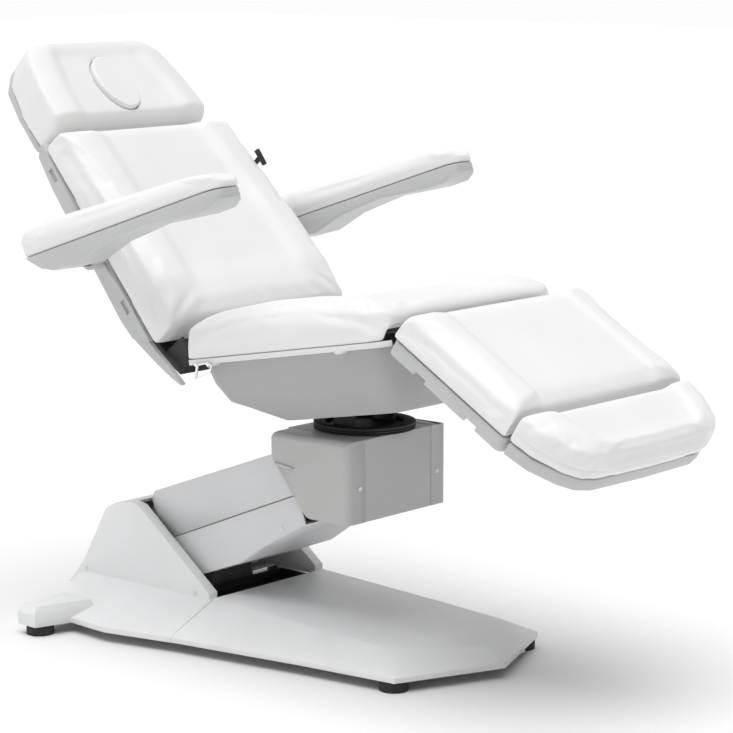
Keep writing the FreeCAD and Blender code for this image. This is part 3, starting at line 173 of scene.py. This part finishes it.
LEATHER = upholstery()
# lighter copy of the cover grey: painted light on the base and tower covers, which sit in the
# seat's shadow
BASE_GREY_PAINTED_LIGHT = moulded("base_grey_painted_light", (0.86, 0.866, 0.873), 0.33)
# darker copy of the cover grey: painted shade on the head box covers, which sit in shade under the
# leg section
HEAD_GREY_PAINTED_SHADE = moulded("head_grey_painted_shade", (0.525, 0.527, 0.52), 0.36)
FINISHES = {
    "white_upholstery": LEATHER,
    "light_grey_cover": moulded("cover_grey", (0.73, 0.737, 0.746), 0.33),
    "grey_shell": moulded("shell_grey", (0.58, 0.585, 0.59), 0.42),
    "white_plastic": moulded("cap_white", (0.82, 0.82, 0.815), 0.3, vary=0.015),
    "painted_steel": powder_coat("grey_coat", (0.30, 0.305, 0.31), 0.4),
    "black_steel": powder_coat("black_coat", (0.022, 0.022, 0.023), 0.38),
    "bright_steel": bare_metal("steel", (0.62, 0.62, 0.63), 0.22, (1, 1, 0.1)),
    "chrome_wire": bare_metal("chrome", (0.86, 0.86, 0.87), 0.05, (1, 1, 1)),
    "black_rubber": rubber("rubber_black", (0.016, 0.016, 0.017)),
    "black_plastic": moulded("plastic_black", (0.025, 0.025, 0.027), 0.4, vary=0.1),
}

# nodes whose grey differs from the rest of their slot: the base and tower covers get a lighter
# grey as painted light, the head box covers a darker grey as painted shade
SPECIAL = {
    "seat_under_shell": moulded("tub_grey", (0.425, 0.427, 0.422), 0.42),
    "base_front_cover": BASE_GREY_PAINTED_LIGHT,
    "tower_cover": BASE_GREY_PAINTED_LIGHT,
    "head_front_cover": HEAD_GREY_PAINTED_SHADE,
    "head_side_cover_near": HEAD_GREY_PAINTED_SHADE,
    "head_side_cover_far": HEAD_GREY_PAINTED_SHADE,
}


# ------------------------------------------------------------- mesh helpers

WELD_GAP = 0.01 * MM


def own_angle(node):
    """How far a node's flat side leans about +Y, from its largest flat area."""
    areas = {}
    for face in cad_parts[node].data.polygons:
        if abs(face.normal.y) < 0.01 and abs(face.normal.z) > 0.2:
            lean = round(math.degrees(math.atan(face.normal.x / face.normal.z)), 1)
            areas[lean] = areas.get(lean, 0) + face.area
    return math.radians(max(areas, key=areas.get))


def points_of(mesh, what="co"):
    """The points' positions, or their normals, one row each."""
    values = np.empty(len(mesh.vertices) * 3)
    mesh.vertices.foreach_get(what, values)
    return values.reshape(-1, 3)


def put_points(mesh, co):
    mesh.vertices.foreach_set("co", np.ascontiguousarray(co).ravel())
    mesh.update()


def applied(piece, kind, **settings):
    """Adds one modifier and applies it."""
    modifier = piece.modifiers.new(kind, kind)
    for name, value in settings.items():
        setattr(modifier, name, value)
    piece.data = evaluated(piece)
    piece.modifiers.clear()


def evaluated(piece):
    """A copy of the piece's mesh as its modifiers leave it."""
    bpy.context.view_layer.update()
    graph = bpy.context.evaluated_depsgraph_get()
    return bpy.data.meshes.new_from_object(piece.evaluated_get(graph))


def smooth_step(x, start, end):
    t = np.clip((x - start) / (end - start), 0, 1)
    return t * t * (3 - 2 * t)


def finish_piece(piece, body, material):
    """Smooth shading, material and body."""
    piece.data.materials.clear()
    piece.data.materials.append(material)
    for face in piece.data.polygons:
        face.use_smooth = True
    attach(piece, body)


# ----------------------------------------------------------------- cushions

SEAM_REACH = 14 * MM
SEAM_HEIGHT = 26 * MM
UPRIGHT = 0.93            # the most that a normal may point up or down on a side
CLOTH_STEPS = 20
STATION = 8 * MM


class Cushion:
    """A padded piece made from a plain CAD solid, worked on lying flat in its own axes."""

    def __init__(self, name, node, voxel, rounds):
        self.node = node
        self.angle = own_angle(node)
        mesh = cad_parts[node].data.copy()
        mesh.transform(Matrix.Rotation(-self.angle, 4, "Y"))
        self.piece = bpy.data.objects.new(name, mesh)
        scene.collection.objects.link(self.piece)
        applied(self.piece, "WELD", merge_threshold=WELD_GAP)
        self.sole = points_of(self.piece.data)[:, 2].min()
        applied(self.piece, "REMESH", mode="VOXEL", voxel_size=voxel)
        applied(self.piece, "SMOOTH", factor=0.5, iterations=rounds)
        co = points_of(self.piece.data)
        self.low, self.high = co.min(0), co.max(0)
        self.measure_width(co)

    def measure_width(self, co):
        """Half the width of the plan at each station along X."""
        self.stations = np.arange(self.low[0], self.high[0], STATION)
        self.reach = np.array([np.abs(co[np.abs(co[:, 0] - x) < STATION, 1]).max()
                               for x in self.stations])

    def from_side(self, co):
        """Distance in from the nearer long side."""
        return np.interp(co[:, 0], self.stations, self.reach) - np.abs(co[:, 1])

    def shape(self, change):
        """Moves points by change(co), a function of the flat co-ordinates."""
        co = points_of(self.piece.data)
        put_points(self.piece.data, change(co))

    def top_share(self, co):
        """1 on the top face, 0 from the middle of the sides down."""
        middle = (self.low[2] + self.high[2]) / 2
        return smooth_step(co[:, 2], middle - 0.1 * (middle - self.low[2]), self.high[2] - 12 * MM)

    def bolsters(self, ridge, slope, dish, outer, ends=(0.0, 0.0), fade=0.06):
        """Leaves a ridge along each side: the middle is dished, and the outer face falls away."""

        def change(co):
            inward = self.from_side(co)
            first, last = self.low[0] + ends[0], self.high[0] - ends[1]
            along = smooth_step(co[:, 0], first, first + fade)
            along *= 1 - smooth_step(co[:, 0], last - fade, last)
            drop = dish * smooth_step(inward, ridge, ridge + slope) * along
            drop = drop + outer * np.clip(1 - inward / ridge, 0, 1) ** 1.6
            out = co.copy()
            out[:, 2] -= drop * self.top_share(co)
            return out

        self.shape(change)

    def swell(self, cap, pressure=4.0, stiff=12.0, shrink=0.0, held=0.008):
        """Lets the cover swell over its foam, held where it is stapled under the bottom edge."""
        if shrink:
            normals = points_of(self.piece.data, "normal")
            self.shape(lambda co: co - normals * shrink)
        start = points_of(self.piece.data)
        group = self.piece.vertex_groups.new(name="stapled")
        stapled = np.nonzero(start[:, 2] < self.low[2] + held)[0]
        group.add(stapled.tolist(), 1.0, "REPLACE")
        cloth = self.piece.modifiers.new("Cloth", "CLOTH")
        rules = cloth.settings
        rules.quality = 4
        rules.mass = 0.4
        rules.tension_stiffness = rules.compression_stiffness = stiff
        rules.shear_stiffness = stiff / 2
        rules.bending_stiffness = 2.0
        rules.use_pressure = True
        rules.uniform_pressure_force = pressure
        rules.effector_weights.gravity = 0
        rules.vertex_group_mass = group.name
        cloth.collision_settings.use_collision = False
        cloth.collision_settings.use_self_collision = False
        for number in range(1, CLOTH_STEPS + 1):
            scene.frame_set(number)
        swollen = points_of(evaluated(self.piece))
        self.piece.modifiers.clear()
        self.piece.vertex_groups.clear()
        scene.frame_set(1)
        move = swollen - start
        length = np.linalg.norm(move, axis=1, keepdims=True)
        put_points(self.piece.data, start + move * np.minimum(1, cap / np.maximum(length, 1e-9)))

    def square_foot(self, reach=16 * MM):
        """Keeps the lower edge crisp and down on its tray."""

        def change(co):
            share = 1 - smooth_step(co[:, 2], co[:, 2].min(), co[:, 2].min() + reach)
            inward = self.from_side(co)
            near = 1 - smooth_step(inward, 0, reach)
            out = co.copy()
            out[:, 1] += np.sign(co[:, 1]) * 0.8 * inward * near * share
            out[:, 2] += (self.sole - co[:, 2].min()) * share
            return out

        self.shape(change)

    def refine(self, rounds=2):
        applied(self.piece, "SMOOTH", factor=0.5, iterations=rounds)
        applied(self.piece, "SUBSURF", levels=1, render_levels=1)

    def seam(self, height):
        """Marks how close each point of the sides is to a seam sewn round them at a height."""
        mesh = self.piece.data
        upright = np.abs(points_of(mesh, "normal")[:, 2]) < UPRIGHT
        off = np.abs(points_of(mesh)[:, 2] - height)
        close = np.clip(1 - off / SEAM_REACH, 0, 1) * upright
        marks = mesh.attributes.new("seam", "FLOAT", "POINT")
        marks.data.foreach_set("value", close.astype(np.float32))

    def done(self, body):
        self.piece.matrix_world = Matrix.Rotation(self.angle, 4, "Y")
        finish_piece(self.piece, body, LEATHER)
        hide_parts(self.node)


def make_seat():
    c = Cushion("seat_upholstery", "seat_cushion", 6.5 * MM, 14)
    c.bolsters(0.072, 0.05, 18 * MM, 8 * MM, ends=(0.02, 0.0), fade=0.09)
    c.swell(7 * MM, shrink=2.5 * MM, held=22 * MM)
    c.square_foot()
    c.refine()
    c.done("seat")


def make_back():
    c = Cushion("back_upholstery", "back_cushion", 6.5 * MM, 14)
    c.bolsters(0.085, 0.05, 14 * MM, 10 * MM, ends=(-0.1, 0.03), fade=0.12)
    c.swell(5 * MM, pressure=3.0, shrink=2 * MM)
    c.refine()
    c.done("back")


def make_leg():
    c = Cushion("leg_upholstery", "leg_cushion", 6.5 * MM, 10)
    c.bolsters(0.08, 0.03, 7 * MM, 8 * MM, ends=(-0.1, -0.1))
    c.swell(7 * MM, shrink=2 * MM)
    c.refine()
    c.seam(c.low[2] + SEAM_HEIGHT)
    c.done("leg")


def make_foot():
    c = Cushion("foot_upholstery", "foot_cushion", 6 * MM, 10)
    c.bolsters(0.08, 0.03, 7 * MM, 8 * MM, ends=(-0.1, 0.0))
    c.swell(7 * MM, shrink=2 * MM)
    c.refine()
    c.seam(c.low[2] + SEAM_HEIGHT)
    c.done("foot")


def make_headrest():
    c = Cushion("headrest_upholstery", "headrest_cushion", 5 * MM, 8)
    c.bolsters(0.06, 0.04, 10 * MM, 12 * MM, ends=(0.0, -0.1))
    c.refine()
    c.done("headrest")


def make_plug():
    c = Cushion("face_plug_upholstery", "face_hole_plug", 3 * MM, 6)
    c.refine()
    c.done("face_plug")


def make_arm_pad(side):
    c = Cushion(f"arm_pad_{side}", f"armrest_pad_{side}", 4 * MM, 6)
    c.swell(5 * MM, shrink=1.5 * MM)
    c.refine()
    c.done(f"armrest_{side}")


make_seat()
make_back()
make_leg()
make_foot()
make_headrest()
make_plug()
make_arm_pad("near")
make_arm_pad("far")


# ------------------------------------------------------- the CAD's own nodes

SMALL_EDGE = 0.6 * MM
SHARP = math.radians(32)
IN_PLANE = math.radians(0.5)
EDGES = {
    "base_front_cover": 3 * MM,
    "tower_cover": 7 * MM,
    "arm_upper_cover": 5 * MM,
    "arm_lower_cover": 5 * MM,
    "head_side_cover_near": 4 * MM,
    "head_side_cover_far": 4 * MM,
    "head_front_cover": 2 * MM,
    "seat_under_shell": 3 * MM,
    "seat_trim": 1.5 * MM,
    "back_tray": 2 * MM,
    "leg_tray": 2 * MM,
    "foot_tray": 2 * MM,
    "armrest_shell_near": 1.5 * MM,
    "armrest_shell_far": 1.5 * MM,
}


def dress(name, node):
    """Rounds the edges of a CAD node's shown shape and gives it its finish."""
    slot = node.material_slots[0]
    own = slot.material.name.split(".")[0]
    slot.material = SPECIAL.get(name, FINISHES[own])
    for face in node.data.polygons:
        face.use_smooth = True
    node.modifiers.new("weld", "WELD").merge_threshold = WELD_GAP
    flat = node.modifiers.new("flat", "DECIMATE")
    flat.decimate_type = "DISSOLVE"
    flat.angle_limit = IN_PLANE
    # split first, a large face with notches keeps its shape through the bevel
    node.modifiers.new("plain", "TRIANGULATE")
    edge = node.modifiers.new("edge", "BEVEL")
    edge.limit_method = "ANGLE"
    edge.angle_limit = SHARP
    edge.width = EDGES.get(name, SMALL_EDGE)
    edge.segments = 3
    edge.harden_normals = True


for node_name, cad_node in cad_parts.items():
    if not cad_node.hide_render:
        dress(node_name, cad_node)


# -------------------------------------------------------- floor, light, view

def make_floor():
    bpy.ops.mesh.primitive_plane_add(size=60, location=(0, 0, -0.5 * MM))
    floor = bpy.context.object
    floor.name = "studio_floor"
    m = Nodes("floor_white", Roughness=0.9)
    tone = m.tint(m.noise(1.5, 2.0), (0.90, 0.90, 0.90), (0.93, 0.93, 0.93))
    floor.data.materials.append(m.finish(tone))


def make_sun(towards, strength, softness):
    """A lamp in the direction towards, its disc softness degrees across."""
    data = bpy.data.lights.new("softbox", "SUN")
    data.energy = strength
    data.angle = math.radians(softness)
    sun = bpy.data.objects.new("softbox", data)
    sun.rotation_euler = Vector(towards).to_track_quat("Z", "Y").to_euler()
    scene.collection.objects.link(sun)


VIEW_AZIMUTH, VIEW_ELEVATION = math.radians(41.0), math.radians(9.472)
VIEW_TARGET = Vector((0.0663, 0.0066, 0.622))
VIEW_DISTANCE = 5.756
VIEW_LENS = 130.7         # in millimetres


def make_camera():
    level = math.cos(VIEW_ELEVATION)
    away = Vector((math.sin(VIEW_AZIMUTH) * level, -math.cos(VIEW_AZIMUTH) * level,
                   math.sin(VIEW_ELEVATION)))
    camera = bpy.data.objects.new("camera", bpy.data.cameras.new("camera"))
    camera.data.lens = VIEW_LENS
    camera.data.sensor_width = 36.0
    camera.location = VIEW_TARGET + away * VIEW_DISTANCE
    camera.rotation_euler = (-away).to_track_quat("-Z", "Y").to_euler()
    scene.collection.objects.link(camera)
    scene.camera = camera


WEST_LIGHT, EAST_LIGHT = 0.78, 0.14
BACKDROP = 0.98


def make_world():
    """Soft light from all round, weaker from the foot end, and a paler backdrop for the camera."""
    world = bpy.data.worlds.new("studio")
    world.use_nodes = True
    tree = world.node_tree
    sky = add_node(tree, "ShaderNodeTexCoord").outputs["Generated"]
    towards = add_node(tree, "ShaderNodeSeparateXYZ", Vector=sky)
    strength = add_node(tree, "ShaderNodeMapRange", Value=towards.outputs["X"], From_Min=-1.0,
                        To_Min=WEST_LIGHT, To_Max=EAST_LIGHT)
    light = tree.nodes["Background"]
    put(tree, light.inputs["Color"], (1, 1, 1, 1))
    put(tree, light.inputs["Strength"], strength.outputs["Result"])
    backdrop = add_node(tree, "ShaderNodeBackground", Color=(1, 1, 1, 1), Strength=BACKDROP)
    seen = add_node(tree, "ShaderNodeLightPath").outputs["Is Camera Ray"]
    either = add_node(tree, "ShaderNodeMixShader", Fac=seen)
    put(tree, either.inputs[1], light.outputs[0])
    put(tree, either.inputs[2], backdrop.outputs[0])
    put(tree, tree.nodes["World Output"].inputs["Surface"], either.outputs[0])
    scene.world = world


make_floor()
make_sun(towards=(0.13, -0.13, 0.98), strength=2.3, softness=60)
make_world()
scene.view_settings.view_transform = "Standard"
make_camera()
